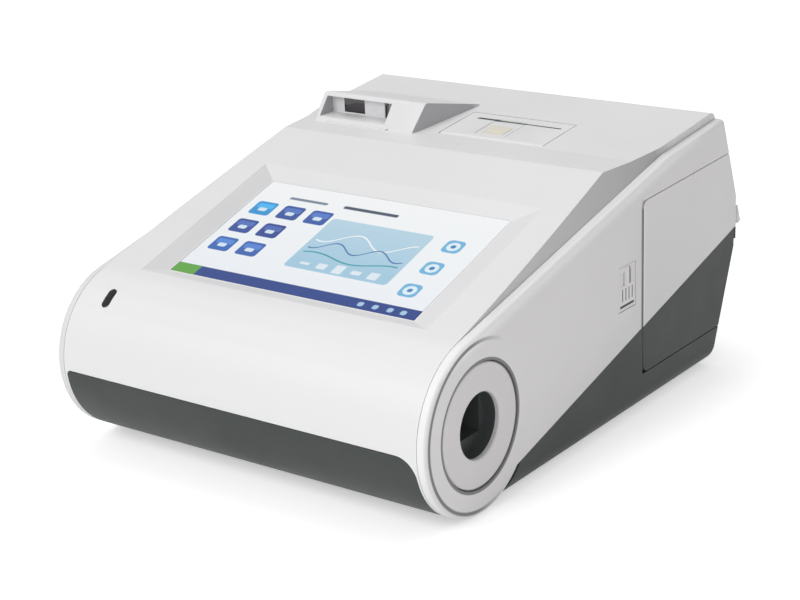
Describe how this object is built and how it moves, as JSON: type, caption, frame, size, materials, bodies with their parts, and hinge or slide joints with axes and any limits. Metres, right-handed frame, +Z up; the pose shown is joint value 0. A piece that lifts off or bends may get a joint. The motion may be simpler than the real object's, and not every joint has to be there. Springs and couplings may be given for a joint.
{
  "type": "blood gas analyzer",
  "caption": "Compact bench-top blood gas analyzer with a front roll, side test port, sloped touch screen, printer lid, scanner hood and side pack door.",
  "frame": {"origin": "on the table, under the middle of the casing", "axes": "+X right as the user faces the screen, -Y front, +Z up"},
  "size_m": [0.238, 0.315, 0.1527],
  "materials": {
    "shell_white": "fine-grained moulded",
    "side_grey": "fine-grained moulded",
    "base_dark": "fine-grained moulded",
    "port_black": "satin moulded",
    "inner_grey": "satin moulded",
    "pack_white": "satin moulded",
    "ivory": "satin moulded",
    "tube_clear": "smooth",
    "board_green": "solder mask",
    "steel": "plated",
    "aluminium": "milled",
    "copper": "milled",
    "rubber": "matt",
    "paper": "smooth",
    "screen_glass": "polished"
  },
  "bodies": {
    "casing": {"upper_housing": "shell_white", "lower_housing": "base_dark", "right_side_panel": "side_grey", "left_side_panel": "side_grey", "left_roll_cap": "side_grey", "port_liner": "port_black", "port_bezel": "side_grey", "measuring_module": "aluminium", "heater_plate": "copper", "touch_glass": "screen_glass", "lcd_panel": "port_black", "display_frame": "steel", "status_lens": "port_black", "chassis": "steel", "main_board": "board_green", "power_board": "board_green", "board_parts": "port_black", "heat_sink": "aluminium", "battery_pack": "port_black", "battery_cover": "base_dark", "screws": "steel", "port_screws": "steel", "feet": "rubber", "fan_frame": "port_black", "speaker": "port_black", "pack_bay": "inner_grey", "calibrant_pack": "pack_white", "fluid_coupler": "inner_grey", "door_hinge_pin": "steel", "latch_bracket": "steel", "lid_hinge_pin": "steel", "printer_frame": "inner_grey", "printer_motor": "steel", "print_head": "aluminium", "scanner_hood": "shell_white", "scanner_window": "screen_glass", "aim_lens": "ivory", "scan_engine": "port_black", "port_plate": "port_black", "dc_inlet": "port_black", "usb_ports": "steel", "lan_port": "steel", "serial_port": "steel", "switch_housing": "port_black", "pump_body": "inner_grey", "pump_motor": "steel", "fluid_tubes": "tube_clear", "latch_spring": "steel"},
    "door": {"door_upper": "side_grey", "door_lower": "base_dark", "door_inner_sheet": "inner_grey"},
    "latch": {"door_latch": "side_grey"},
    "lid": {"printer_lid": "shell_white"},
    "lid_tab": {"lid_tab": "ivory"},
    "platen": {"platen_roller": "rubber"},
    "drive": {"drive_gear": "ivory"},
    "paper": {"paper_roll": "paper"},
    "fan": {"fan_rotor": "port_black"},
    "pump": {"pump_rotor": "ivory"},
    "rocker": {"switch_rocker": "port_black"}
  },
  "joints": [
    {"name": "bay_door", "type": "hinge", "parent": "casing", "child": "door", "pos_m": [0.1175, 0.1515, 0.078], "axis": [0, 0, 1], "range_deg": [0, 105]},
    {"name": "door_latch", "type": "slide", "parent": "casing", "child": "latch", "axis": [-1, 0, 0], "range_m": [0, 0.002], "stiffness_N_per_m": 400, "springref_m": -0.001, "deforming": ["latch_spring"]},
    {"name": "printer_lid", "type": "hinge", "parent": "casing", "child": "lid", "pos_m": [0.018, 0.05319, 0.13649], "axis": [1, 0, 0], "range_deg": [0, 85]},
    {"name": "lid_tab", "type": "slide", "parent": "lid", "child": "lid_tab", "axis": [0, 0.994, 0.1091], "range_m": [0, 0.003], "stiffness_N_per_m": 200, "springref_m": -0.001},
    {"name": "platen_spin", "type": "hinge", "parent": "lid", "child": "platen", "pos_m": [0.018, 0.0838, 0.13532], "axis": [1, 0, 0], "continuous": true},
    {"name": "drive_spin", "type": "hinge", "parent": "casing", "child": "drive", "pos_m": [0.048, 0.0846, 0.12806], "axis": [1, 0, 0], "continuous": true},
    {"name": "paper_spin", "type": "hinge", "parent": "casing", "child": "paper", "pos_m": [0.018, 0.06553, 0.11571], "axis": [1, 0, 0], "continuous": true},
    {"name": "fan_spin", "type": "hinge", "parent": "casing", "child": "fan", "pos_m": [-0.107, 0.08, 0.082], "axis": [1, 0, 0], "continuous": true},
    {"name": "pump_spin", "type": "hinge", "parent": "casing", "child": "pump", "pos_m": [0.028, 0.009, 0.036], "axis": [0, 1, 0], "continuous": true},
    {"name": "power_switch", "type": "hinge", "parent": "casing", "child": "rocker", "pos_m": [-0.032, 0.1275, 0.039], "axis": [1, 0, 0], "range_deg": [-18, 0]}
  ],
  "couplings": [
    {"joint": "drive_spin", "follows": "platen_spin", "ratio": -1}
  ]
}
